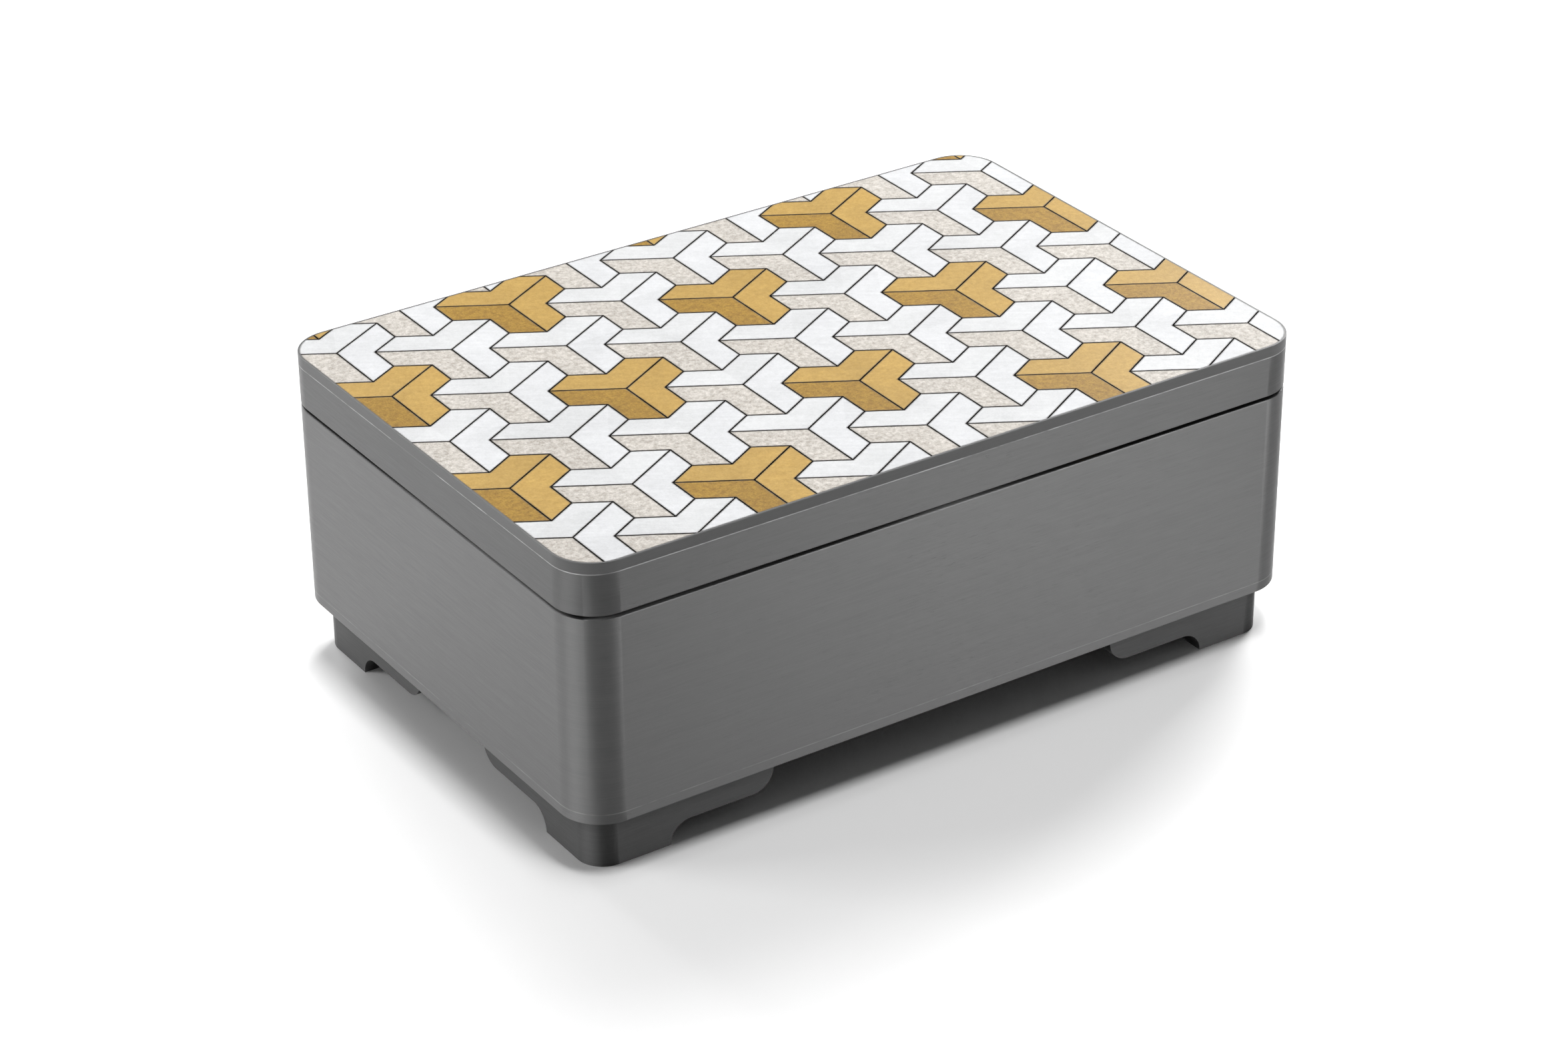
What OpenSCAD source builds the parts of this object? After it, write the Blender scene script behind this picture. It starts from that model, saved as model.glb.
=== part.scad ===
// Trick box in grey-dyed hardwood: mitred walls, four bracket feet, a lid inlaid with
// interlocking three-armed tiles, and a hidden bolt worked by a sliding key underneath.
// The front is towards -Y, the hinges are towards +Y, and the feet stand on z = 0.

/* [Box] */
// Length of the box from left to right
box_l = 150; // [120:1:200]
// Width of the box from front to back
box_w = 100; // [84:1:140]
// Radius of the upright outer corners
corner_r = 8; // [6:0.5:10]
// Thickness of the four body walls
wall_t = 6; // [5:0.2:8]

/* [Heights] */
// Height of the feet
foot_h = 10.2; // [8:0.2:16]
// Thickness of the base panel
base_t = 1.8; // [1.6:0.2:4]
// Thickness of the pale veneer lines
line_t = 0.2; // [0.2:0.1:0.6]
// Height of the body walls
wall_h = 37; // [30:1:60]
// Shadow gap between the body and the lid
seam_gap = 0.6; // [0.4:0.1:1.2]
// Height of the lid rails
rail_h = 7.6; // [7:0.2:14]
// Thickness of the lid panel, with its tiles
panel_t = 2; // [1.6:0.2:4]

/* [Feet] */
// How far the feet stand back from the walls
foot_inset = 3; // [1:0.5:5]
// Length of each arm of a foot
foot_arm = 36; // [26:1:40]
// Length of each arm that touches the ground
foot_pad = 15.2; // [10:0.2:18]
// Height of the raised part of each arm
foot_step = 4; // [3:0.2:5]
// Radius of the raised arm's end
foot_end_r = 4.2; // [2:0.2:5]
// Thickness of each arm
foot_t = 6; // [4:0.5:8]

/* [Tiles] */
// Side of the tile pattern's small triangle
tile_u = 6.7; // [5:0.1:10]
// Thickness of the tiles
tile_t = 0.6; // [0.4:0.1:1]
// Width of the dark joints between tiles
joint_w = 0.3; // [0.2:0.05:0.6]
// Width of the panel's rim round the tiles
rim_w = 0.4; // [0.3:0.1:2]
// Turn of the pattern against the box
pattern_turn = -0.3; // [-5:0.1:5]
// Place of one gold figure's middle, from the lid's middle
pattern_at = [-34.1, 40.6];

/* [Inside] */
// Thickness of the inner floor
floor_t = 3; // [2:0.5:5]
// Height of the space under the inner floor, which holds the key
cavity_h = 5.2; // [5:0.2:8]
// Width of the bearers that carry the inner floor
bearer_w = 8; // [5:1:12]
// Distance from the middle of the box to each bearer
bearer_x = 52; // [46:1:54]
// Thickness of the lining boards
liner_t = 2.5; // [2:0.5:4]
// Thickness of the board under the lid panel
lid_board_t = 2; // [1.5:0.5:4]
// Clearance between the lid rails and the lining
lip_gap = 0.4; // [0.3:0.1:0.8]

/* [Hinges] */
// Length of each hinge
hinge_l = 22; // [16:1:30]
// Distance from the middle of the box to each hinge
hinge_x = 42; // [30:1:45]
// Radius of the hinge knuckles
knuckle_r = 1.4; // [1.2:0.1:1.6]
// Radius of the hinge pins
pin_r = 0.6; // [0.5:0.1:0.8]
// How far the hinge axis stands behind the back wall
hinge_out = 0.35; // [0.3:0.05:0.6]
// Depth of the hinge leaves over the wall
leaf_w = 4.6; // [4:0.2:5]
// Thickness of the hinge leaves
leaf_t = 0.8; // [0.6:0.1:1]

/* [Lock] */
// Distance that the key and the bolt slide
lock_travel = 5; // [4:0.5:6]
// Distance from the middle of the box to each hook
hook_x = 30; // [20:1:40]
// Width of a hook's post
post_w = 3; // [2.5:0.5:4]
// Length of a hook's head
head_l = 7; // [6:0.5:9]
// Height of a hook's head
head_h = 2; // [1.5:0.5:2.5]
// Thickness of the lock bar
bar_t = 1.2; // [1:0.1:1.6]
// Height of the lock bar's long beam
beam_h = 5; // [4:0.5:8]
// Width of the stem between the beam and the key
stem_w = 10; // [8:1:16]
// Thickness of the strike plates
strike_t = 1; // [0.8:0.1:1.4]
// Length and width of the key where it shows underneath
key_size = [24, 8];
// Thickness of the key's hidden flange
flange_t = 2; // [1.5:0.1:2.4]

/* [Hidden] */
$fn = 64;

// Heights of the layers above the ground
base_z = foot_h;
cavity_z = base_z + base_t;
wall_z = cavity_z + line_t;
seam_z = wall_z + wall_h;
rail_z = seam_z + seam_gap;
lid_line_z = rail_z + rail_h;
panel_z = lid_line_z + line_t;
top_z = panel_z + panel_t;
floor_z = cavity_z + cavity_h;
liner_z = floor_z + floor_t;
lid_board_z = lid_line_z - lid_board_t;

// Plan sizes
inner_l = box_l - 2 * wall_t;
inner_w = box_w - 2 * wall_t;
rail_t = wall_t - lip_gap;
front_y = -inner_w / 2;
foot_corner_r = max(corner_r - foot_inset, 1);

// Small clearances
slide_gap = 0.4;
run_gap = 0.04;
part_gap = 0.15;
flange_gap = 0.05;
over = 1;

// Hinge places
hinge_y = box_w / 2 + hinge_out;
hinge_z = seam_z + seam_gap / 2;
side_knuckle_l = hinge_l * 0.3;
leaf_y = box_w / 2 - leaf_w;
leaf_screw_y = box_w / 2 - leaf_w / 2 - 0.7;
leaf_screw_x = hinge_l / 2 - 3;

// Wood screws
screw_d = 1.6;
screw_head_d = 3;
screw_head_h = 0.7;
screw_l = 5;
screw_slot = [0.4, 0.35];
key_screw_l = 3;
key_screw_x = 3;

// Lock places
bar_y = front_y - slide_gap - bar_t / 2;
bar_slot_d = bar_t + 2 * slide_gap;
tab_t = bar_t;
tab_y = front_y + 6;
tab_z = cavity_z + flange_gap + flange_t;
beam_z = seam_z - 3 - beam_h;
head_z = rail_z + strike_t + slide_gap;
head_top_z = head_z + head_h;
pocket_roof_gap = 0.8;
strike_end = 5.5;
strike_w = rail_t - 1.4;
strike_x0 = -post_w / 2 - slide_gap;
strike_x1 = max(head_l - post_w / 2, post_w / 2 + lock_travel) + slide_gap;
key_y = front_y + key_size.y / 2 + 2;
flange_over = [4, 1.6];

// Tongues in the mitred corners
spline_t = 1;
spline_margin = 3;

// Dowels between the feet and the base
dowel_d = 2.5;
dowel_depth = 4;
dowel_at = foot_pad / 2 + 1;

// ---------- plain shapes ----------

module rounded_rect(l, w, r) {
    square([l - 2 * r, w], center = true);
    square([l, w - 2 * r], center = true);
    for (x = [-1, 1], y = [-1, 1])
        translate([x * (l / 2 - r), y * (w / 2 - r)]) circle(r);
}

module box_outline(inset = 0) {
    rounded_rect(box_l - 2 * inset, box_w - 2 * inset, corner_r - inset);
}

// A box given by its lowest and highest corners
module block(low, high) {
    translate(low) cube(high - low);
}

// A countersunk hole or screw body with its head flush at z = 0, pointing down
module screw_shape(length) {
    translate([0, 0, -screw_head_h])
        cylinder(h = screw_head_h, d1 = screw_d, d2 = screw_head_d);
    translate([0, 0, -length]) cylinder(h = length - screw_head_h / 2, d = screw_d);
}

module screw(length = screw_l) {
    difference() {
        screw_shape(length);
        translate([-screw_head_d, -screw_slot.x / 2, -screw_slot.y])
            cube([2 * screw_head_d, screw_slot.x, over]);
    }
}

// ---------- mitred frames ----------

// Plan of one mitred side: 0 front, 1 right, 2 back, 3 left
module mitred_side(side, thickness) {
    x = box_l / 2;
    y = box_w / 2;
    outer = [[-x, -y], [x, -y], [x, y], [-x, y]];
    inner = [for (p = outer) p - thickness * [sign(p.x), sign(p.y)]];
    next = (side + 1) % 4;
    intersection() {
        box_outline();
        polygon([outer[side], outer[next], inner[next], inner[side]]);
    }
}

// Thin tongues across the four mitres
module splines(thickness, z, height) {
    corner_in = corner_r * (1 - sqrt(0.5));
    at = (corner_in + thickness) / 2 - 0.3;
    length = thickness * 0.65;
    for (x = [-1, 1], y = [-1, 1])
        translate([x * (box_l / 2 - at), y * (box_w / 2 - at), z + height / 2])
            rotate(-45 * x * y)
                cube([length, spline_t, height], center = true);
}

module body_splines() {
    splines(wall_t, wall_z + spline_margin, wall_h - 2 * spline_margin);
}

module rail_splines() {
    splines(rail_t, rail_z + spline_margin / 2, rail_h - spline_margin);
}

module body_wall(side) {
    difference() {
        translate([0, 0, wall_z]) linear_extrude(wall_h) mitred_side(side, wall_t);
        body_splines();
    }
}

module lid_rail(side) {
    difference() {
        translate([0, 0, rail_z]) linear_extrude(rail_h) mitred_side(side, rail_t);
        rail_splines();
    }
}

module veneer_ring(z, thickness) {
    translate([0, 0, z]) linear_extrude(line_t) difference() {
        box_outline();
        square([box_l - 2 * thickness, box_w - 2 * thickness], center = true);
    }
}

// ---------- lock ----------

// Upright rectangles of the lock bar: [x, z, width, height]
stem_rect = [-stem_w / 2, tab_z, stem_w, beam_z - tab_z];
beam_rect = [-hook_x - post_w / 2, beam_z, 2 * hook_x + post_w, beam_h];
function post_rect(x) = [x - post_w / 2, beam_z, post_w, head_top_z - beam_z];
function head_rect(x) = [x - post_w / 2, head_z, head_l, head_h];

module bar_rect(r) {
    translate([r[0], bar_y - bar_t / 2, r[1]]) cube([r[2], bar_t, r[3]]);
}

// The space that a rectangle of the bar needs as it slides
module slide_space(r) {
    block([r[0] - slide_gap, front_y - bar_slot_d, r[1] - slide_gap],
          [r[0] + r[2] + lock_travel + slide_gap, front_y + over, r[1] + r[3] + slide_gap]);
}

module lock_slot() {
    slide_space(stem_rect);
    slide_space(beam_rect);
    for (x = [-hook_x, hook_x]) slide_space(post_rect(x));
}

// The pocket in the lid's front rail for one hook
module hook_pocket(x) {
    r = head_rect(x);
    block([r[0] - slide_gap, front_y - bar_slot_d - slide_gap, rail_z - over],
          [r[0] + r[2] + lock_travel + slide_gap, front_y + over, head_top_z + pocket_roof_gap]);
}

module strike_blank(x) {
    block([x + strike_x0 - strike_end, -box_w / 2 + rail_t - strike_w, rail_z],
          [x + strike_x1 + strike_end, -box_w / 2 + rail_t, rail_z + strike_t]);
}

// Places of the screws in one strike plate
module at_strike_screws(x) {
    for (sx = [x + strike_x0 - strike_end / 2, x + strike_x1 + strike_end / 2])
        translate([sx, -box_w / 2 + rail_t - strike_w / 2, rail_z])
            mirror([0, 0, 1]) children();
}

module strike_plate(x) {
    color("goldenrod") difference() {
        strike_blank(x);
        block([x + strike_x0, front_y - bar_slot_d - slide_gap, rail_z - over],
              [x + strike_x1, front_y + over, rail_z + strike_t + over]);
        at_strike_screws(x) screw_shape(screw_l);
    }
}

module at_key_screws() {
    for (x = [-key_screw_x, key_screw_x])
        translate([x, key_y, tab_z + tab_t]) children();
}

// ---------- hinges ----------

module at_leaf_screws(x) {
    for (sx = [-leaf_screw_x, leaf_screw_x])
        translate([x + sx, leaf_screw_y, 0]) children();
}

module along_hinge(x0, x1, r) {
    translate([x0, hinge_y, hinge_z]) rotate([0, 90, 0]) cylinder(h = x1 - x0, r = r);
}

// Room for the knuckles in the wood
module knuckle_room(x) {
    along_hinge(x - hinge_l / 2 - part_gap, x + hinge_l / 2 + part_gap, knuckle_r + part_gap);
}

module leaf_blank(x, z) {
    block([x - hinge_l / 2, leaf_y, z], [x + hinge_l / 2, hinge_y, z + leaf_t]);
}

module body_leaf(x) {
    mid = hinge_l / 2 - side_knuckle_l;
    color("goldenrod") difference() {
        union() {
            leaf_blank(x, seam_z - leaf_t);
            along_hinge(x - hinge_l / 2, x - mid, knuckle_r);
            along_hinge(x + mid, x + hinge_l / 2, knuckle_r);
        }
        along_hinge(x - mid, x + mid, knuckle_r + part_gap);
        along_hinge(x - hinge_l, x + hinge_l, pin_r);
        translate([0, 0, seam_z]) at_leaf_screws(x) screw_shape(screw_l);
    }
}

module lid_leaf(x) {
    mid = hinge_l / 2 - side_knuckle_l - part_gap;
    color("goldenrod") difference() {
        union() {
            leaf_blank(x, rail_z);
            along_hinge(x - mid, x + mid, knuckle_r);
        }
        along_hinge(x - hinge_l / 2 - over, x - mid, knuckle_r + part_gap);
        along_hinge(x + mid, x + hinge_l / 2 + over, knuckle_r + part_gap);
        along_hinge(x - hinge_l, x + hinge_l, pin_r + run_gap);
        translate([0, 0, rail_z]) at_leaf_screws(x) mirror([0, 0, 1]) screw_shape(screw_l);
    }
}

module hinge_pin(x) {
    color("goldenrod") along_hinge(x - hinge_l / 2, x + hinge_l / 2, pin_r);
}

// ---------- feet ----------

// The part cut away under one arm of a foot, drawn along the arm
module arm_undercut() {
    translate([foot_pad + foot_step, 0]) circle(foot_step);
    translate([foot_pad + foot_step, -over]) square([foot_arm, foot_step + over]);
    difference() {
        translate([foot_arm - foot_end_r, 0]) square([foot_end_r + over, foot_step + foot_end_r]);
        translate([foot_arm - foot_end_r, foot_step + foot_end_r]) circle(foot_end_r);
    }
}

module cut_arm() {
    translate([0, foot_t + over, 0]) rotate([90, 0, 0])
        linear_extrude(foot_t + 2 * over) arm_undercut();
}

// A foot with its outer corner at the origin and its arms along +X and +Y
module foot_shape() {
    difference() {
        linear_extrude(foot_h) difference() {
            union() {
                square([foot_arm, foot_t]);
                square([foot_t, foot_arm]);
            }
            difference() {
                translate([-over, -over]) square(foot_corner_r + over);
                translate([foot_corner_r, foot_corner_r]) circle(foot_corner_r);
            }
        }
        cut_arm();
        mirror([1, -1, 0]) cut_arm();
    }
}

module foot_dowel_pair() {
    for (p = [[dowel_at, foot_t / 2], [foot_t / 2, dowel_at]])
        translate([p.x, p.y, foot_h - dowel_depth]) cylinder(h = dowel_depth + base_t, d = dowel_d);
}

// Puts a foot's own frame at one corner of the box
module at_corner(x, y) {
    translate([x * (box_l / 2 - foot_inset), y * (box_w / 2 - foot_inset), 0])
        mirror([x > 0 ? 1 : 0, 0, 0]) mirror([0, y > 0 ? 1 : 0, 0]) children();
}

module foot(x, y) {
    color("dimgray") at_corner(x, y) difference() {
        foot_shape();
        foot_dowel_pair();
    }
}

module all_dowels() {
    for (x = [-1, 1], y = [-1, 1]) at_corner(x, y) foot_dowel_pair();
}

// ---------- tiles ----------

function ray(length, angle) = length * [cos(angle), sin(angle)];

// One tile of a three-armed figure: the chevron that faces the given way
function chevron(at, facing) = [
    at,
    at + ray(2 * tile_u, facing - 60),
    at + ray(tile_u, facing) + ray(tile_u, facing - 60),
    at + ray(tile_u, facing),
    at + ray(tile_u, facing) + ray(tile_u, facing + 60),
    at + ray(2 * tile_u, facing + 60)
];

// Moves every side of an anticlockwise outline inwards by g
function left_of(a, b) = let (d = (b - a) / norm(b - a)) [-d.y, d.x];
function inset(p, g) = [
    for (i = [0:len(p) - 1])
        let (
            before = p[(i + len(p) - 1) % len(p)],
            after = p[(i + 1) % len(p)],
            n = left_of(before, p[i]),
            m = left_of(p[i], after)
        )
        p[i] + g * (n + m) / (1 + n * m)
];

recess_l = box_l - 2 * rim_w;
recess_w = box_w - 2 * rim_w;
recess_r = corner_r - rim_w;

// How far a point is inside the recess's rounded outline
function depth_in(p) =
    let (
        x = abs(p.x) - recess_l / 2 + recess_r,
        y = abs(p.y) - recess_w / 2 + recess_r
    )
    recess_r - norm([max(x, 0), max(y, 0)]) - min(max(x, y), 0);
function along_sides(t) = [
    for (i = [0:len(t) - 1], k = [0:7]) t[i] + (t[(i + 1) % len(t)] - t[i]) * k / 8
];
function whole(t) = min([for (p = t) depth_in(p)]) > 0;
function touches(t) = max([for (p = along_sides(t)) depth_in(p)]) > rim_w;

// Middles of the figures: every second one each way is gold
reach = ceil((box_l + box_w) / (3 * tile_u));
function figure_at(i, j) = pattern_at
    + i * ray(3 * tile_u, pattern_turn - 30) + j * ray(3 * tile_u, pattern_turn + 30);
function is_gold(i, j) = i % 2 == 0 && j % 2 == 0;
function tiles(gold, facing) = [
    for (i = [-reach:reach], j = [-reach:reach])
        if (is_gold(i, j) == gold)
            inset(chevron(figure_at(i, j), facing + pattern_turn), joint_w / 2)
];

module tile_prisms(outlines) {
    translate([0, 0, top_z - tile_t])
        for (t = outlines) linear_extrude(tile_t) polygon(t);
}

module tile_set(tone, gold, facing) {
    all = tiles(gold, facing);
    color(tone) {
        tile_prisms([for (t = all) if (whole(t)) t]);
        intersection() {
            tile_prisms([for (t = all) if (touches(t) && !whole(t)) t]);
            translate([0, 0, top_z - tile_t])
                linear_extrude(tile_t) rounded_rect(recess_l, recess_w, recess_r);
        }
    }
}

// ---------- sub-parts of the body ----------

module front_wall() {
    color("dimgray") difference() {
        body_wall(0);
        lock_slot();
    }
}

module back_wall() {
    color("dimgray") difference() {
        body_wall(2);
        for (x = [-hinge_x, hinge_x]) {
            leaf_blank(x, seam_z - leaf_t);
            knuckle_room(x);
            translate([0, 0, seam_z]) at_leaf_screws(x) screw_shape(screw_l);
        }
    }
}

module left_wall() { color("dimgray") body_wall(3); }

module right_wall() { color("dimgray") body_wall(1); }

module wall_splines() { color("burlywood") body_splines(); }

module base_panel() {
    slot = [key_size.x / 2 + slide_gap, key_size.y / 2 + slide_gap];
    color("dimgray") difference() {
        translate([0, 0, base_z]) linear_extrude(base_t) box_outline();
        block([-slot.x, key_y - slot.y, base_z - over],
              [slot.x + lock_travel, key_y + slot.y, cavity_z + over]);
        all_dowels();
    }
}

module base_line() { color("silver") veneer_ring(cavity_z, wall_t); }

module foot_front_left() { foot(-1, -1); }

module foot_front_right() { foot(1, -1); }

module foot_back_left() { foot(-1, 1); }

module foot_back_right() { foot(1, 1); }

module foot_dowels() { color("burlywood") all_dowels(); }

module floor_bearer(x) {
    color("burlywood") block([x - bearer_w / 2, -inner_w / 2, cavity_z],
                             [x + bearer_w / 2, inner_w / 2, floor_z]);
}

module floor_bearer_left() { floor_bearer(-bearer_x); }

module floor_bearer_right() { floor_bearer(bearer_x); }

module floor_panel() {
    color("burlywood") block([-inner_l / 2, -inner_w / 2, floor_z],
                             [inner_l / 2, inner_w / 2, liner_z]);
}

// Lining boards stand up into the lid and carry it
module liner_front() {
    color("burlywood") block([-inner_l / 2, front_y, liner_z],
                             [inner_l / 2, front_y + liner_t, lid_board_z]);
}

module liner_back() { mirror([0, 1, 0]) liner_front(); }

module liner_left() {
    color("burlywood") block([-inner_l / 2, front_y + liner_t, liner_z],
                             [-inner_l / 2 + liner_t, -front_y - liner_t, lid_board_z]);
}

module liner_right() { mirror([1, 0, 0]) liner_left(); }

module left_hinge_body_leaf() { body_leaf(-hinge_x); }

module right_hinge_body_leaf() { body_leaf(hinge_x); }

module left_hinge_pin() { hinge_pin(-hinge_x); }

module right_hinge_pin() { hinge_pin(hinge_x); }

module body_hinge_screws() {
    color("gold") for (x = [-hinge_x, hinge_x])
        translate([0, 0, seam_z]) at_leaf_screws(x) screw();
}

// ---------- sub-parts of the lid ----------

module lid_front_rail() {
    color("dimgray") difference() {
        lid_rail(0);
        for (x = [-hook_x, hook_x]) {
            hook_pocket(x);
            strike_blank(x);
            at_strike_screws(x) screw_shape(screw_l);
        }
    }
}

module lid_back_rail() {
    color("dimgray") difference() {
        lid_rail(2);
        for (x = [-hinge_x, hinge_x]) {
            leaf_blank(x, rail_z);
            knuckle_room(x);
            translate([0, 0, rail_z]) at_leaf_screws(x) mirror([0, 0, 1]) screw_shape(screw_l);
        }
    }
}

module lid_left_rail() { color("dimgray") lid_rail(3); }

module lid_right_rail() { color("dimgray") lid_rail(1); }

module lid_splines() { color("burlywood") rail_splines(); }

module lid_line() { color("silver") veneer_ring(lid_line_z, rail_t); }

module lid_panel() {
    color("dimgray") difference() {
        translate([0, 0, panel_z]) linear_extrude(panel_t) box_outline();
        translate([0, 0, top_z - tile_t])
            linear_extrude(tile_t + over) rounded_rect(recess_l, recess_w, recess_r);
    }
}

module lid_board() {
    color("burlywood") block([-box_l / 2 + rail_t, -box_w / 2 + rail_t, lid_board_z],
                             [box_l / 2 - rail_t, box_w / 2 - rail_t, panel_z]);
}

module tiles_white_back() { tile_set("white", false, 90); }

module tiles_white_side() { tile_set("whitesmoke", false, 330); }

module tiles_sand() { tile_set("lightgray", false, 210); }

module tiles_gold_light() { tile_set("sandybrown", true, 90); }

module tiles_gold_mid() { tile_set("goldenrod", true, 330); }

module tiles_gold_dark() { tile_set("darkgoldenrod", true, 210); }

module left_hinge_lid_leaf() { lid_leaf(-hinge_x); }

module right_hinge_lid_leaf() { lid_leaf(hinge_x); }

module lid_hinge_screws() {
    color("gold") for (x = [-hinge_x, hinge_x])
        translate([0, 0, rail_z]) at_leaf_screws(x) mirror([0, 0, 1]) screw();
}

module strike_plate_left() { strike_plate(-hook_x); }

module strike_plate_right() { strike_plate(hook_x); }

module strike_screws() {
    color("gold") for (x = [-hook_x, hook_x]) at_strike_screws(x) screw();
}

// ---------- sub-parts of the lock ----------

module key_slide() {
    low = [-key_size.x / 2, key_y - key_size.y / 2, base_z];
    high = [key_size.x / 2, key_y + key_size.y / 2, tab_z];
    color("burlywood") difference() {
        union() {
            block(low, high);
            block([low.x - flange_over.x, low.y - flange_over.y, tab_z - flange_t],
                  [high.x + flange_over.x + lock_travel, high.y + flange_over.y, tab_z]);
        }
        // Finger grooves
        for (x = [-1, 0, 1])
            block([x * 4 - 0.6, low.y + 1, base_z - over], [x * 4 + 0.6, high.y - 1, base_z + 0.6]);
        at_key_screws() screw_shape(key_screw_l);
    }
}

module lock_bar() {
    color("goldenrod") difference() {
        union() {
            bar_rect(stem_rect);
            bar_rect(beam_rect);
            for (x = [-hook_x, hook_x]) {
                bar_rect(post_rect(x));
                bar_rect(head_rect(x));
            }
            block([-stem_w / 2, bar_y - bar_t / 2, tab_z],
                  [stem_w / 2, key_y + key_size.y / 2, tab_z + tab_t]);
        }
        at_key_screws() screw_shape(key_screw_l);
    }
}

module key_screws() { color("gold") at_key_screws() screw(key_screw_l); }

front_wall();
back_wall();
left_wall();
right_wall();
wall_splines();
base_panel();
base_line();
foot_front_left();
foot_front_right();
foot_back_left();
foot_back_right();
foot_dowels();
floor_bearer_left();
floor_bearer_right();
floor_panel();
liner_front();
liner_back();
liner_left();
liner_right();
left_hinge_body_leaf();
right_hinge_body_leaf();
left_hinge_pin();
right_hinge_pin();
body_hinge_screws();
lid_front_rail();
lid_back_rail();
lid_left_rail();
lid_right_rail();
lid_splines();
lid_line();
lid_panel();
lid_board();
tiles_white_back();
tiles_white_side();
tiles_sand();
tiles_gold_light();
tiles_gold_mid();
tiles_gold_dark();
left_hinge_lid_leaf();
right_hinge_lid_leaf();
lid_hinge_screws();
strike_plate_left();
strike_plate_right();
strike_screws();
key_slide();
lock_bar();
key_screws();
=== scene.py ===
"""Looks of the inlaid trick box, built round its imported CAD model.

Everything is in metres, and a length times MM was written in millimetres. Shader textures and the
heights and radii below are in plain millimetres. The front is towards -Y and the floor is z = 0.
"""

import math

import bpy
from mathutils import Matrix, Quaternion, Vector


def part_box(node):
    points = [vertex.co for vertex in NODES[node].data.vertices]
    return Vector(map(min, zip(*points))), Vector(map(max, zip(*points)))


MM = 0.001

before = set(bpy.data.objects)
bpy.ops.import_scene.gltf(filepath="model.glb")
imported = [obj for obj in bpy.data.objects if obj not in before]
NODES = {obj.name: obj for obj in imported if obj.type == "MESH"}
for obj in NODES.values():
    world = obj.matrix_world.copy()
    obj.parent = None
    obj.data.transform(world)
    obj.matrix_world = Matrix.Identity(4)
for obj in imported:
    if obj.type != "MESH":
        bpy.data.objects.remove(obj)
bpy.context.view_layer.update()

# Heights of the edges that stand free: under the base, either side of the seam, and the top
BASE_Z, SEAM_Z, RAIL_Z, TOP_Z = (
    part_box(name)[end].z / MM
    for name, end in (("base_panel", 0), ("front_wall", 1), ("lid_front_rail", 0), ("lid_panel", 1))
)

# Radii of the upright corners on the box and on the feet, and X and Y of the centre they share
CORNER_R, FOOT_INSET = 8.0, 3.0
FOOT_CORNER_R = CORNER_R - FOOT_INSET
CORNER_AT = [side / MM - CORNER_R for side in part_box("base_panel")[1][:2]]

# How near in millimetres a point is to count as on the outline, as on a level, and as one with another
ON_OUTLINE, ON_LEVEL, SAME_POINT = 0.03, 0.01, 0.001

# A sharp edge turns by more degrees than this, and the facets of a rounded corner by fewer
SHARP_ANGLE = 40

# Tiles' colours are given as they look in the light of this scene, which is brighter than they are
TILE_SHADE = 0.58
BODY_TONE = 62
PAPER_TONE = 0.95

FLOOR_HALF = 6
ROOM_LIGHT = 0.11
LIGHTS_AIM = (0, 0, 0.03)


# ---------- shader building ----------


def srgb(r, g, b):
    """A colour picked on screen (0 to 255) as the linear values that shaders take."""

    def linear(c):
        c /= 255
        return c / 12.92 if c <= 0.04045 else ((c + 0.055) / 1.055) ** 2.4

    return tuple(linear(c) for c in (r, g, b))


def dimmed(tone):
    """A tile's colour, brought down to its own reflectance."""
    return tuple(TILE_SHADE * c for c in srgb(*tone))


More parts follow.
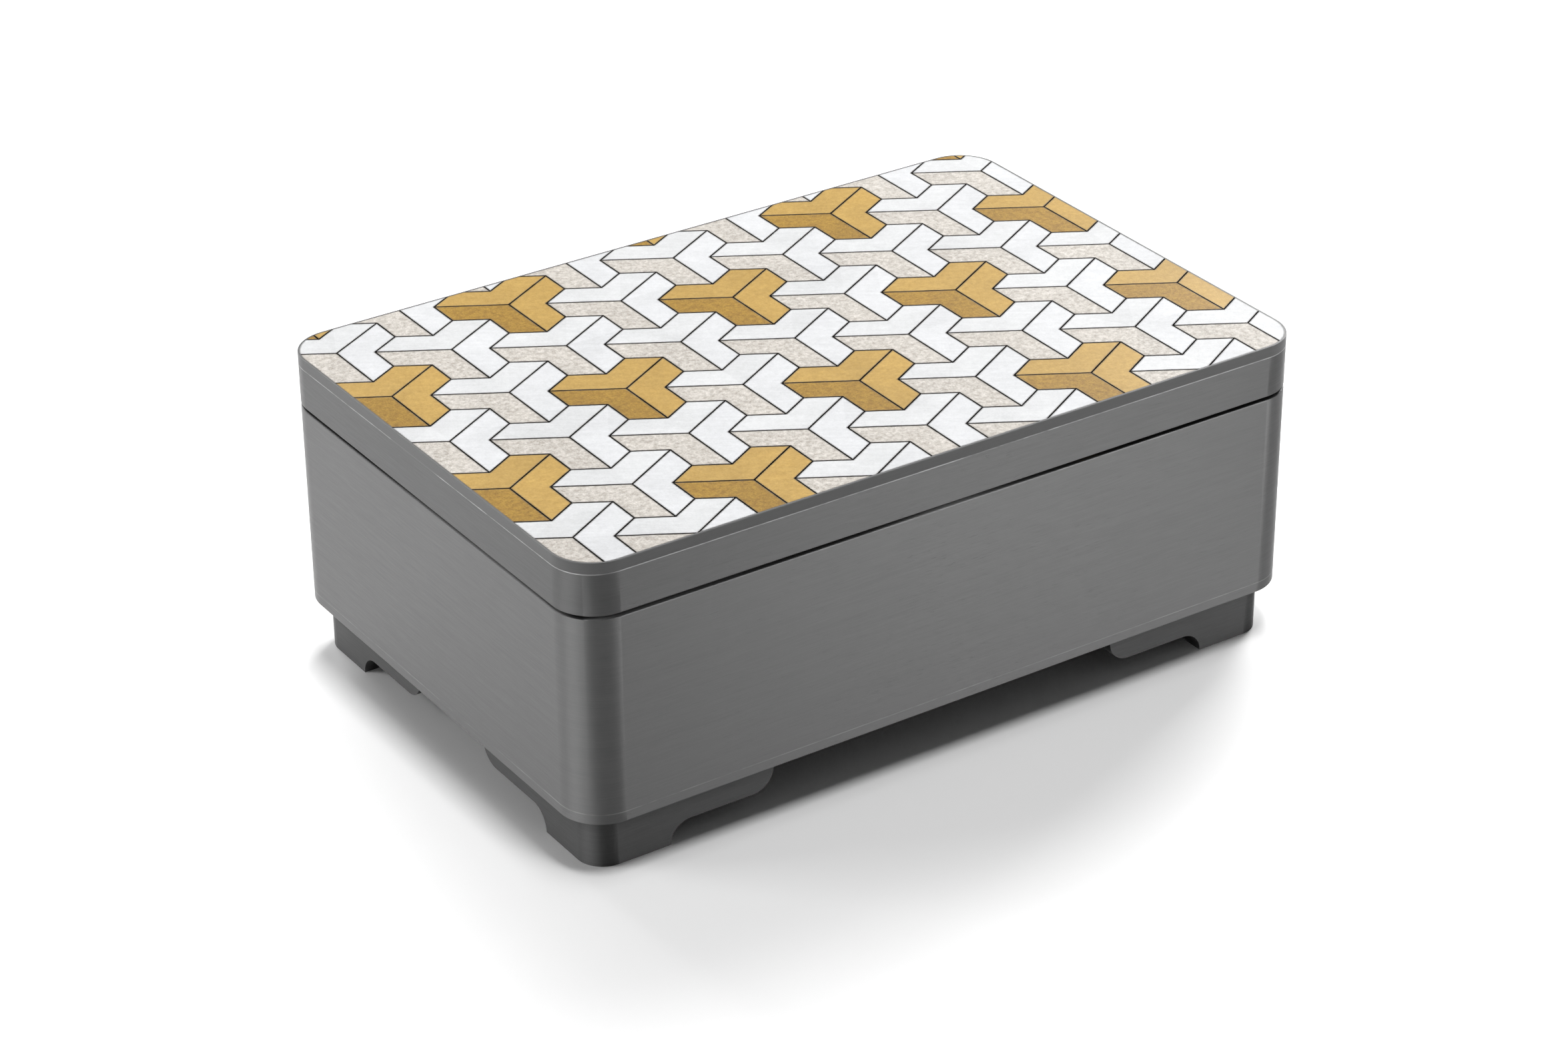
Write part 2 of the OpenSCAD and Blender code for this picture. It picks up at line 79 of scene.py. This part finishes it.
class Shader:
    """One procedural material. Its textures are laid out in millimetres of the CAD's own frame."""

    def __init__(self, name):
        self.material = bpy.data.materials.new(name)
        self.material.use_nodes = True
        self.tree = self.material.node_tree
        self.tree.nodes.clear()
        self.bsdf = self.add("ShaderNodeBsdfPrincipled")
        out = self.add("ShaderNodeOutputMaterial")
        self.tree.links.new(self.bsdf.outputs[0], out.inputs["Surface"])
        self.coords = self.add("ShaderNodeTexCoord")
        self.mm = self.scaled(self.coords.outputs["Object"], (1 / MM, 1 / MM, 1 / MM))

    def add(self, kind, **settings):
        node = self.tree.nodes.new(kind)
        for key, value in settings.items():
            setattr(node, key, value)
        return node

    def put(self, socket, value):
        """Links an output socket, or sets a plain value on the socket itself."""
        if isinstance(value, bpy.types.NodeSocket):
            self.tree.links.new(value, socket)
        elif isinstance(value, (tuple, list)) and len(value) == 3 and len(socket.default_value) == 4:
            socket.default_value = (*value, 1)
        else:
            socket.default_value = value

    def math(self, operation, a, b=0.0):
        node = self.add("ShaderNodeMath", operation=operation)
        self.put(node.inputs[0], a)
        self.put(node.inputs[1], b)
        return node.outputs[0]

    def scaled(self, vector, by):
        node = self.add("ShaderNodeVectorMath", operation="MULTIPLY")
        self.put(node.inputs[0], vector)
        node.inputs[1].default_value = by
        return node.outputs[0]

    def turned(self, vector, degrees):
        """Turns a vector about Z."""
        node = self.add("ShaderNodeVectorRotate", rotation_type="Z_AXIS")
        self.put(node.inputs["Vector"], vector)
        node.inputs["Angle"].default_value = math.radians(degrees)
        return node.outputs[0]

    def noise(self, vector, scale=1.0, detail=2.0, rough=0.5, distort=0.0):
        node = self.add("ShaderNodeTexNoise")
        self.put(node.inputs["Vector"], vector)
        node.inputs["Scale"].default_value = scale
        node.inputs["Detail"].default_value = detail
        node.inputs["Roughness"].default_value = rough
        node.inputs["Distortion"].default_value = distort
        return node.outputs["Fac"]

    def remap(self, value, low, high, to_low=0.0, to_high=1.0):
        node = self.add("ShaderNodeMapRange")
        self.put(node.inputs["Value"], value)
        for key, v in (("From Min", low), ("From Max", high), ("To Min", to_low), ("To Max", to_high)):
            node.inputs[key].default_value = v
        return node.outputs[0]

    def blend(self, factor, a, b, how="MIX"):
        node = self.add("ShaderNodeMix", data_type="RGBA", blend_type=how)
        self.put(node.inputs["Factor"], factor)
        self.put(node.inputs[6], a)
        self.put(node.inputs[7], b)
        return node.outputs[2]

    def grey(self, value):
        node = self.add("ShaderNodeCombineColor")
        for i in range(3):
            self.put(node.inputs[i], value)
        return node.outputs[0]

    def pick(self, factor, a, b):
        """Blends two vectors."""
        node = self.add("ShaderNodeMix", data_type="VECTOR")
        self.put(node.inputs["Factor"], factor)
        self.put(node.inputs[4], a)
        self.put(node.inputs[5], b)
        return node.outputs[1]

    def xyz(self, vector):
        node = self.add("ShaderNodeSeparateXYZ")
        self.put(node.inputs[0], vector)
        return node.outputs

    def facing_up(self):
        """1 on level faces, 0 on upright ones."""
        z = self.xyz(self.coords.outputs["Normal"])[2]
        return self.remap(self.math("ABSOLUTE", z), 0.6, 0.8)

    def edges(self, radius):
        """Above 0 within a radius of a sharp edge."""
        bevel = self.add("ShaderNodeBevel", samples=4)
        bevel.inputs["Radius"].default_value = radius * MM
        geometry = self.add("ShaderNodeNewGeometry")
        dot = self.add("ShaderNodeVectorMath", operation="DOT_PRODUCT")
        self.put(dot.inputs[0], bevel.outputs[0])
        self.put(dot.inputs[1], geometry.outputs["Normal"])
        return self.remap(dot.outputs["Value"], 1.0, 0.75)

    def free_edges(self):
        """1 up to the base's lower edge and close to the other free edges. Glued joints aren't worn."""
        z = self.xyz(self.mm)[2]
        near = self.remap(z, BASE_Z + 0.2, BASE_Z + 0.6, 1.0, 0.0)
        for level in (SEAM_Z, RAIL_Z, TOP_Z):
            away = self.math("ABSOLUTE", self.math("SUBTRACT", z, level))
            near = self.math("MAXIMUM", near, self.remap(away, 0.5, 0.7, 1.0, 0.0))
        return near

    def outline_normal(self):
        """The normal, made exact on the rounded upright faces, so that they are smooth across the mitres."""
        place = self.xyz(self.mm)
        over = [self.math("SUBTRACT", self.math("ABSOLUTE", place[i]), CORNER_AT[i]) for i in (0, 1)]
        out = [self.math("MAXIMUM", v, 0.0) for v in over]
        reach = self.math("SQRT", self.math("ADD", *[self.math("MULTIPLY", v, v) for v in out]))
        reach = self.math("ADD", reach, self.math("MINIMUM", self.math("MAXIMUM", *over), 0.0))
        on_box, on_foot = [
            self.remap(self.math("ABSOLUTE", self.math("SUBTRACT", reach, radius)), 0.05, 0.06, 1.0, 0.0)
            for radius in (CORNER_R, FOOT_CORNER_R)
        ]
        tilt = self.math("ABSOLUTE", self.xyz(self.coords.outputs["Normal"])[2])
        upright = self.remap(tilt, 0.3, 0.35, 1.0, 0.0)
        mask = self.math("MULTIPLY", self.math("MAXIMUM", on_box, on_foot), upright)
        outward = self.add("ShaderNodeCombineXYZ")
        for i in (0, 1):
            self.put(outward.inputs[i], self.math("MULTIPLY", out[i], self.math("SIGN", place[i])))
        world = self.add("ShaderNodeVectorTransform", vector_type="NORMAL")
        world.convert_from, world.convert_to = "OBJECT", "WORLD"
        self.put(world.inputs[0], outward.outputs[0])
        return self.pick(mask, self.add("ShaderNodeNewGeometry").outputs["Normal"], world.outputs[0])

    def bump(self, height, depth, strength=1.0, outline=False):
        """Relief of a given depth. With outline, it lies on the exact normal of the rounded upright faces."""
        node = self.add("ShaderNodeBump")
        node.inputs["Strength"].default_value = strength
        node.inputs["Distance"].default_value = depth * MM
        self.put(node.inputs["Height"], height)
        if outline:
            self.put(node.inputs["Normal"], self.outline_normal())
        self.put(self.bsdf.inputs["Normal"], node.outputs[0])

    def level_satin(self):
        """Sanding marks that run level round the upright faces, and smear reflections up and down."""
        tangent = self.add("ShaderNodeTangent", direction_type="RADIAL", axis="Z")
        self.put(self.bsdf.inputs["Tangent"], tangent.outputs[0])
        quarter_turn = 0.25
        self.surface(Anisotropic=0.9, Anisotropic_Rotation=quarter_turn)

    def surface(self, **values):
        for key, value in values.items():
            self.put(self.bsdf.inputs[key.replace("_", " ")], value)
        return self.material


# ---------- materials ----------


def grained(s, along, length, width):
    """Coordinates for grain that runs level on upright faces, and along X or Y on level ones."""
    fine, coarse = 1 / width, 1 / length
    upright = s.scaled(s.mm, (coarse, coarse, fine))
    level = s.scaled(s.mm, (coarse, fine, fine) if along == "x" else (fine, coarse, fine))
    return s.pick(s.facing_up(), upright, level)


def grey_wood(name, along, tone=BODY_TONE, rough=0.5, ior=1.7):
    """Hardwood dyed grey, with bands, fibres and pores along its grain, and free edges rubbed pale."""
    s = Shader(name)
    bands = s.noise(grained(s, along, 40, 1.6), detail=4, rough=0.6, distort=0.2)
    fibres = s.noise(grained(s, along, 6, 0.22), detail=2, rough=0.6)
    pores = s.remap(s.noise(grained(s, along, 2.2, 0.16), detail=1), 0.68, 0.76)
    cloud = s.noise(s.mm, scale=1 / 30, detail=2)
    rubbed = s.math("MULTIPLY", s.edges(0.45), s.free_edges())
    wear = s.math("MULTIPLY", rubbed, s.remap(s.noise(s.mm, scale=0.35, detail=3), 0.35, 0.7))
    shade = s.math("ADD", s.remap(bands, 0.2, 0.8, -0.09, 0.09), s.remap(fibres, 0.2, 0.8, -0.07, 0.07))
    shade = s.math("ADD", shade, s.remap(cloud, 0.3, 0.7, 0.96, 1.04))
    shade = s.math("SUBTRACT", shade, s.math("MULTIPLY", pores, 0.18))
    shade = s.math("ADD", shade, s.math("MULTIPLY", wear, 0.45))
    colour = s.blend(1.0, srgb(tone, tone, tone), s.grey(shade), "MULTIPLY")
    relief = s.math("SUBTRACT", s.math("ADD", bands, s.math("MULTIPLY", fibres, 0.6)), pores)
    s.bump(relief, 0.012, outline=True)
    roughness = s.remap(fibres, 0.2, 0.8, rough + 0.05, rough - 0.05)
    roughness = s.math("SUBTRACT", roughness, s.math("MULTIPLY", wear, 0.08))
    s.level_satin()
    return s.surface(Base_Color=colour, Roughness=roughness, IOR=ior)


def tile_wood(name, dark, light, grain, speck, rough):
    """A thin tile: a mottled face, and dark glue on its sides that bleeds over its edges.

    grain is the size of the mottling in millimetres, and speck how strongly its finest specks show.
    """
    s = Shader(name)
    mottle = s.noise(s.mm, scale=1 / grain, detail=4, rough=0.7)
    specks = s.noise(s.scaled(s.mm, (1.0, 0.7, 1.0)), scale=4.2, detail=2, rough=0.6)
    strokes = s.noise(s.scaled(s.turned(s.mm, 35), (0.12, 1.6, 1.0)), detail=3, rough=0.6)
    cloud = s.noise(s.mm, scale=0.09, detail=2)
    island = s.add("ShaderNodeNewGeometry").outputs["Random Per Island"]
    face = s.blend(s.remap(mottle, 0.3, 0.7), dimmed(dark), dimmed(light))
    lift = s.remap(specks, 0.3, 0.7, 1 - speck, 1 + speck)
    lift = s.math("ADD", lift, s.remap(strokes, 0.35, 0.65, -0.03, 0.03))
    lift = s.math("ADD", lift, s.remap(cloud, 0.3, 0.7, -0.05, 0.05))
    lift = s.math("ADD", lift, s.remap(island, 0, 1, -0.03, 0.03))
    face = s.blend(1.0, face, s.grey(lift), "MULTIPLY")
    ragged = s.remap(s.noise(s.mm, scale=1.3, detail=4, rough=0.75), 0.3, 0.7, 0.3, 1.5)
    bleed = s.remap(s.math("MULTIPLY", s.edges(0.5), ragged), 0.15, 0.55)
    side = s.math("SUBTRACT", 1.0, s.facing_up())
    colour = s.blend(s.math("MAXIMUM", side, bleed), face, joint_colour(s))
    s.bump(s.math("ADD", mottle, specks), 0.01)
    roughness = s.remap(specks, 0.3, 0.7, rough + 0.06, rough - 0.06)
    return s.surface(Base_Color=colour, Roughness=roughness, Specular_IOR_Level=0.2)


def joint_colour(s):
    """Dark glue between the tiles, thin in places."""
    thin = s.remap(s.noise(s.mm, scale=0.3, detail=3, rough=0.6), 0.4, 0.7)
    return s.blend(thin, srgb(46, 43, 41), srgb(92, 88, 84))


def panel_wood(name):
    """The lid panel: grey wood, with the tiles' bed of glue on the floor of its recess."""
    s = Shader(name)
    fibres = s.noise(grained(s, "x", 6, 0.25), detail=3)
    colour = s.blend(1.0, srgb(54, 54, 54), s.grey(s.remap(fibres, 0.2, 0.8, 0.9, 1.1)), "MULTIPLY")
    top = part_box("lid_panel")[1].z / MM
    z = s.xyz(s.mm)[2]
    below_rim = s.remap(z, top - 0.2, top - 0.1, 1.0, 0.0)
    above_underside = s.remap(z, top - 0.9, top - 0.7)
    bed = s.math("MULTIPLY", s.math("MULTIPLY", s.facing_up(), below_rim), above_underside)
    s.bump(fibres, 0.01, outline=True)
    return s.surface(Base_Color=s.blend(bed, colour, joint_colour(s)), Roughness=0.5, IOR=1.6)


def line_veneer(name, tone):
    """A thin pale line, dulled by the finish and worn away in places."""
    s = Shader(name)
    worn = s.remap(s.noise(s.scaled(s.mm, (0.06, 0.06, 0.3)), detail=4, rough=0.75), 0.42, 0.6)
    colour = s.blend(worn, srgb(tone, tone, tone), srgb(BODY_TONE, BODY_TONE, BODY_TONE))
    s.bump(worn, 0.01, outline=True)
    s.level_satin()
    return s.surface(Base_Color=colour, Roughness=0.5, IOR=1.7)


def pale_wood(name, along):
    """Plain oiled wood, inside the box."""
    s = Shader(name)
    bands = s.noise(grained(s, along, 60, 2.2), detail=4, rough=0.55, distort=0.4)
    fibres = s.noise(grained(s, along, 7, 0.25), detail=2)
    colour = s.blend(s.remap(bands, 0.3, 0.7), srgb(196, 164, 120), srgb(222, 196, 156))
    colour = s.blend(1.0, colour, s.grey(s.remap(fibres, 0.2, 0.8, 0.9, 1.08)), "MULTIPLY")
    s.bump(fibres, 0.015)
    return s.surface(Base_Color=colour, Roughness=s.remap(fibres, 0.2, 0.8, 0.6, 0.5))


def brass(name, tone, rough):
    """Brushed and a little stained."""
    s = Shader(name)
    brushed = s.noise(s.scaled(s.mm, (0.15, 6, 6)), scale=1.0, detail=3, rough=0.6)
    stain = s.noise(s.mm, scale=0.5, detail=3)
    colour = s.blend(s.remap(stain, 0.35, 0.7), srgb(*tone), srgb(*[c * 0.82 for c in tone]))
    s.bump(brushed, 0.004)
    roughness = s.remap(brushed, 0.2, 0.8, rough + 0.08, rough - 0.08)
    return s.surface(Base_Color=colour, Metallic=1.0, Roughness=roughness)


WOOD_X = grey_wood("grey_wood_x", "x")
WOOD_Y = grey_wood("grey_wood_y", "y")
# The lid's rails get darker copies of the body's wood, and the side rails a darker, less glossy one still:
# painted shade, set side by side for how the light falls.
LID_X_PAINTED_SHADE = grey_wood("grey_wood_lid_x_painted_shade", "x", tone=58, ior=1.65)
LID_Y_PAINTED_SHADE = grey_wood("grey_wood_lid_y_painted_shade", "y", tone=54, ior=1.6)
# The feet get a darker, less glossy copy of the body's wood: painted shade for the shadow they stand in under
# the box.
FOOT_PAINTED_SHADE = grey_wood("grey_wood_foot_painted_shade", "x", tone=40, rough=0.6, ior=1.5)
PANEL = panel_wood("lid_panel_wood")
LID_LINE = line_veneer("line_veneer_lid", 150)
BASE_LINE = line_veneer("line_veneer_base", 104)
PALE_X = pale_wood("pale_wood_x", "x")
PALE_Y = pale_wood("pale_wood_y", "y")
BRASS = brass("brushed_brass", tone=(196, 158, 92), rough=0.3)
SCREW = brass("screw_brass_turned", tone=(206, 172, 104), rough=0.25)
TILE_LOOKS = {
    "tiles_white_back": dict(dark=(234, 235, 236), light=(246, 247, 248), grain=1.2, speck=0.04, rough=0.5),
    "tiles_white_side": dict(dark=(236, 237, 239), light=(248, 249, 251), grain=1.2, speck=0.04, rough=0.5),
    "tiles_sand": dict(dark=(188, 180, 169), light=(247, 241, 233), grain=0.9, speck=0.16, rough=0.55),
    "tiles_gold_light": dict(dark=(199, 160, 80), light=(221, 182, 100), grain=1.0, speck=0.07, rough=0.42),
    "tiles_gold_mid": dict(dark=(202, 162, 80), light=(224, 184, 100), grain=1.0, speck=0.07, rough=0.42),
    "tiles_gold_dark": dict(dark=(152, 110, 20), light=(198, 156, 52), grain=0.8, speck=0.14, rough=0.48),
}
LOOKS = {
    "front_wall": WOOD_X, "back_wall": WOOD_X, "left_wall": WOOD_Y, "right_wall": WOOD_Y,
    "base_panel": WOOD_X, "base_line": BASE_LINE, "lid_line": LID_LINE, "lid_panel": PANEL,
    "lid_front_rail": LID_X_PAINTED_SHADE, "lid_back_rail": LID_X_PAINTED_SHADE, "lid_left_rail": LID_Y_PAINTED_SHADE, "lid_right_rail": LID_Y_PAINTED_SHADE,
    "foot_front_left": FOOT_PAINTED_SHADE, "foot_front_right": FOOT_PAINTED_SHADE, "foot_back_left": FOOT_PAINTED_SHADE, "foot_back_right": FOOT_PAINTED_SHADE,
    "wall_splines": PALE_X, "lid_splines": PALE_X, "foot_dowels": PALE_X, "floor_panel": PALE_X,
    "floor_bearer_left": PALE_Y, "floor_bearer_right": PALE_Y, "liner_front": PALE_X, "liner_back": PALE_X,
    "liner_left": PALE_Y, "liner_right": PALE_Y, "lid_board": PALE_X, "key_slide": WOOD_X,
    "left_hinge_body_leaf": BRASS, "right_hinge_body_leaf": BRASS, "left_hinge_lid_leaf": BRASS,
    "right_hinge_lid_leaf": BRASS, "left_hinge_pin": BRASS, "right_hinge_pin": BRASS,
    "strike_plate_left": BRASS, "strike_plate_right": BRASS, "lock_bar": BRASS,
    "body_hinge_screws": SCREW, "lid_hinge_screws": SCREW, "strike_screws": SCREW, "key_screws": SCREW,
}
for tile, look in TILE_LOOKS.items():
    LOOKS[tile] = tile_wood(tile + "_wood", **look)

for name, node in NODES.items():
    for slot in node.material_slots:
        slot.material = LOOKS[name]


# ---------- broken edges ----------


def outline_edges(radius, height):
    """Marks the sharp edges on a rounded outline for a Bevel modifier to break.

    With a height, only the edges at that level. Mitres, glued joints and cuts inside the pieces stay sharp.
    """
    tree = bpy.data.node_groups.new("outline_edges", "GeometryNodeTree")
    tree.is_modifier = True
    for way in ("INPUT", "OUTPUT"):
        tree.interface.new_socket("Geometry", in_out=way, socket_type="NodeSocketGeometry")

    def add(kind, *inputs, **settings):
        node = tree.nodes.new(kind)
        for key, value in settings.items():
            setattr(node, key, value)
        for i, value in enumerate(inputs):
            if isinstance(value, bpy.types.NodeSocket):
                tree.links.new(value, node.inputs[i])
            elif value is not None:
                node.inputs[i].default_value = value
        return node

    def calc(operation, *values):
        return add("ShaderNodeMath", *values, operation=operation).outputs[0]

    place = add("ShaderNodeSeparateXYZ", add("GeometryNodeInputPosition").outputs[0]).outputs
    over = [calc("SUBTRACT", calc("ABSOLUTE", place[i]), CORNER_AT[i] * MM) for i in (0, 1)]
    out = [calc("MAXIMUM", v, 0.0) for v in over]
    length = calc("SQRT", calc("ADD", calc("MULTIPLY", out[0], out[0]), calc("MULTIPLY", out[1], out[1])))
    inner = calc("MINIMUM", calc("MAXIMUM", *over), 0.0)
    away = calc("ABSOLUTE", calc("SUBTRACT", calc("ADD", length, inner), radius * MM))
    angle = add("GeometryNodeInputMeshEdgeAngle").outputs[0]
    sharp = calc("GREATER_THAN", angle, math.radians(SHARP_ANGLE))
    chosen = calc("MULTIPLY", sharp, calc("LESS_THAN", away, ON_OUTLINE * MM))
    if height is not None:
        off_level = calc("ABSOLUTE", calc("SUBTRACT", place[2], height * MM))
        chosen = calc("MULTIPLY", chosen, calc("LESS_THAN", off_level, ON_LEVEL * MM))
    source = add("NodeGroupInput").outputs[0]
    store = add("GeometryNodeStoreNamedAttribute", data_type="FLOAT", domain="EDGE")
    store.inputs["Name"].default_value = "bevel_weight_edge"
    tree.links.new(source, store.inputs["Geometry"])
    tree.links.new(chosen, store.inputs["Value"])
    tree.links.new(store.outputs[0], add("NodeGroupOutput").inputs[0])
    return tree


def break_edges(names, width, height=None, radius=CORNER_R):
    """Takes a small rounded break off the marked edges. The mesh itself stays as imported."""
    marks = outline_edges(radius, height)
    for name in names:
        modifiers = NODES[name].modifiers
        modifiers.new("joined", "WELD").merge_threshold = SAME_POINT * MM
        modifiers.new("marked", "NODES").node_group = marks
        edge = modifiers.new("broken", "BEVEL")
        edge.width, edge.segments = width * MM, 2
        edge.limit_method = "WEIGHT"


break_edges(["front_wall", "back_wall", "left_wall", "right_wall"], 0.25, height=SEAM_Z)
break_edges(["lid_front_rail", "lid_back_rail", "lid_left_rail", "lid_right_rail"], 0.2, height=RAIL_Z)
break_edges(["lid_panel"], 0.1, height=TOP_Z)
break_edges(["base_panel"], 0.15, height=BASE_Z)
break_edges(
    ["foot_front_left", "foot_front_right", "foot_back_left", "foot_back_right"], 0.2, radius=FOOT_CORNER_R
)


# ---------- stage, lights and camera ----------


def white_paper():
    s = Shader("white_paper")
    s.bump(s.noise(s.mm, scale=0.8, detail=3), 0.02, strength=0.3)
    return s.surface(Base_Color=(PAPER_TONE, PAPER_TONE, PAPER_TONE), Roughness=0.7)


def add_floor():
    corners = [(x * FLOOR_HALF, y * FLOOR_HALF, 0) for x, y in ((-1, -1), (1, -1), (1, 1), (-1, 1))]
    mesh = bpy.data.meshes.new("floor")
    mesh.from_pydata(corners, [], [(0, 1, 2, 3)])
    floor = bpy.data.objects.new("floor", mesh)
    bpy.context.scene.collection.objects.link(floor)
    mesh.materials.append(white_paper())


def add_panel(name, at, size, power, diffuse=True, glossy=True):
    """A soft light aimed at the box. One that isn't diffuse only shows in the satin finish."""
    data = bpy.data.lights.new(name, "AREA")
    data.shape = "RECTANGLE"
    data.size, data.size_y = size
    data.energy = power
    light = bpy.data.objects.new(name, data)
    bpy.context.scene.collection.objects.link(light)
    light.visible_camera = False
    light.visible_diffuse, light.visible_glossy = diffuse, glossy
    light.location = at
    light.rotation_mode = "QUATERNION"
    light.rotation_quaternion = (Vector(LIGHTS_AIM) - Vector(at)).to_track_quat("-Z", "Y")


def around(azimuth, elevation, distance):
    """A point round the box, by its angle from +X and its height as an angle."""
    a, e = math.radians(azimuth), math.radians(elevation)
    return (
        distance * math.cos(a) * math.cos(e),
        distance * math.sin(a) * math.cos(e),
        distance * math.sin(e),
    )


def add_world():
    """A dim, even room. The backdrop itself shows white."""
    world = bpy.data.worlds.new("studio")
    bpy.context.scene.world = world
    world.use_nodes = True
    tree = world.node_tree
    tree.nodes.clear()
    lit, seen = tree.nodes.new("ShaderNodeBackground"), tree.nodes.new("ShaderNodeBackground")
    for shader, strength in ((lit, ROOM_LIGHT), (seen, 1.0)):
        shader.inputs["Color"].default_value = (1, 1, 1, 1)
        shader.inputs["Strength"].default_value = strength
    mix = tree.nodes.new("ShaderNodeMixShader")
    tree.links.new(tree.nodes.new("ShaderNodeLightPath").outputs["Is Camera Ray"], mix.inputs[0])
    tree.links.new(lit.outputs[0], mix.inputs[1])
    tree.links.new(seen.outputs[0], mix.inputs[2])
    tree.links.new(mix.outputs[0], tree.nodes.new("ShaderNodeOutputWorld").inputs["Surface"])


def add_camera():
    """Looks at a point in the box from the front left, from above."""
    azimuth, elevation, roll = math.radians(-33.62), math.radians(28.81), math.radians(-0.445)
    distance = 728.1 * MM
    target = Vector((-3.23, -1.46, 24.33)) * MM
    back = Vector((
        math.sin(azimuth) * math.cos(elevation),
        -math.cos(azimuth) * math.cos(elevation),
        math.sin(elevation),
    ))
    data = bpy.data.cameras.new("camera")
    data.sensor_width, data.lens = 36, 93.1
    data.clip_start, data.clip_end = 0.01, 20
    camera = bpy.data.objects.new("camera", data)
    bpy.context.scene.collection.objects.link(camera)
    camera.location = target + back * distance
    camera.rotation_mode = "QUATERNION"
    camera.rotation_quaternion = (-back).to_track_quat("-Z", "Y") @ Quaternion((0, 0, 1), roll)
    bpy.context.scene.camera = camera


add_floor()
add_world()
add_panel("key_light", at=around(30, 28, 1.3), size=(0.5, 0.5), power=14.6)
add_panel("back_left_light", at=around(150, 28, 1.3), size=(0.5, 0.5), power=5.2, glossy=False)
add_panel("back_light", at=around(88, 30, 1.3), size=(0.5, 0.5), power=6.3)
add_panel("high_light", at=around(58, 55, 1.3), size=(0.5, 0.5), power=5)
add_panel("top_light", at=around(268, 81, 1.3), size=(0.14, 0.45), power=9.6, glossy=False)
add_panel("left_gloss", at=around(150, 25, 1.0), size=(2.2, 0.9), power=18.5, diffuse=False)
add_panel("corner_gloss", at=around(194, 25, 1.0), size=(1.0, 0.8), power=9.5, diffuse=False)
add_panel("right_gloss", at=around(302, 25, 0.8), size=(0.18, 0.7), power=4.5, diffuse=False)
add_camera()
bpy.context.scene.view_settings.view_transform = "Standard"
